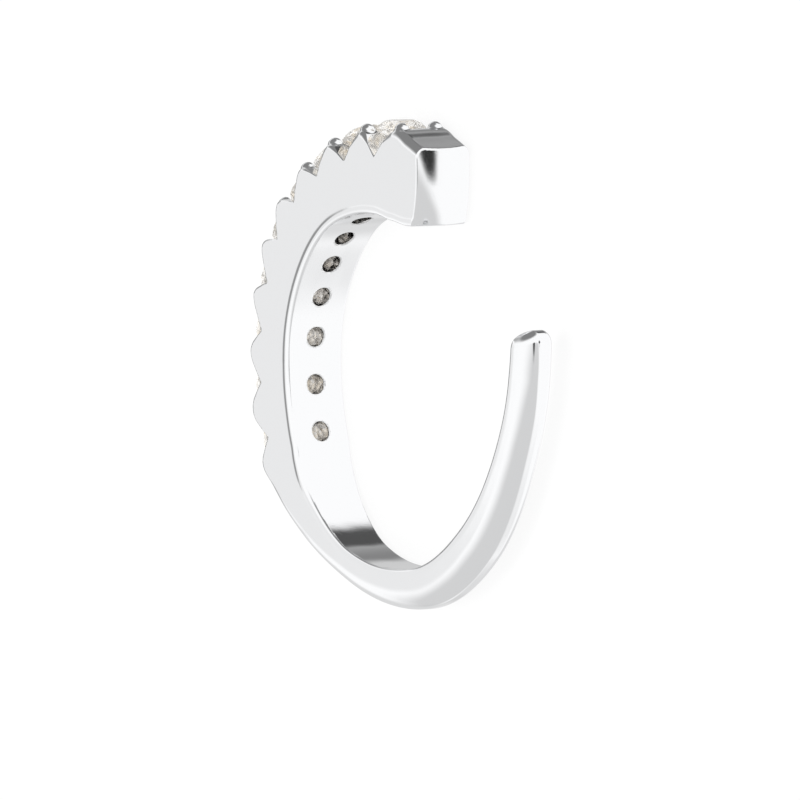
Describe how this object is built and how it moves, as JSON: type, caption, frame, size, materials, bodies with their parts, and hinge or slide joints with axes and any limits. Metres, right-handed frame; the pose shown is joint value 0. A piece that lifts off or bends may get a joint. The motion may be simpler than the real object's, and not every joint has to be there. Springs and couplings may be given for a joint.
{
  "type": "ear cuff",
  "caption": "Open silver ear cuff: a tapering round shank and a thick block end joined by a single row of round faceted stones set in V cuts between beaded ridges.",
  "frame": {"origin": "on the surface the cuff lies on, under the middle of its outline", "axes": "+Z is the ring's axis, upwards from the side face it rests on; the mouth opens towards +X and +Y"},
  "size_m": [0.0126, 0.0128, 0.0017],
  "materials": {
    "silver": "polished silver",
    "stone": "clear cut stone"
  },
  "bodies": {
    "root": {"cuff_band": "silver", "stone_01": "stone", "stone_02": "stone", "stone_03": "stone", "stone_04": "stone", "stone_05": "stone", "stone_06": "stone", "stone_07": "stone", "stone_08": "stone", "stone_09": "stone"}
  },
  "joints": []
}
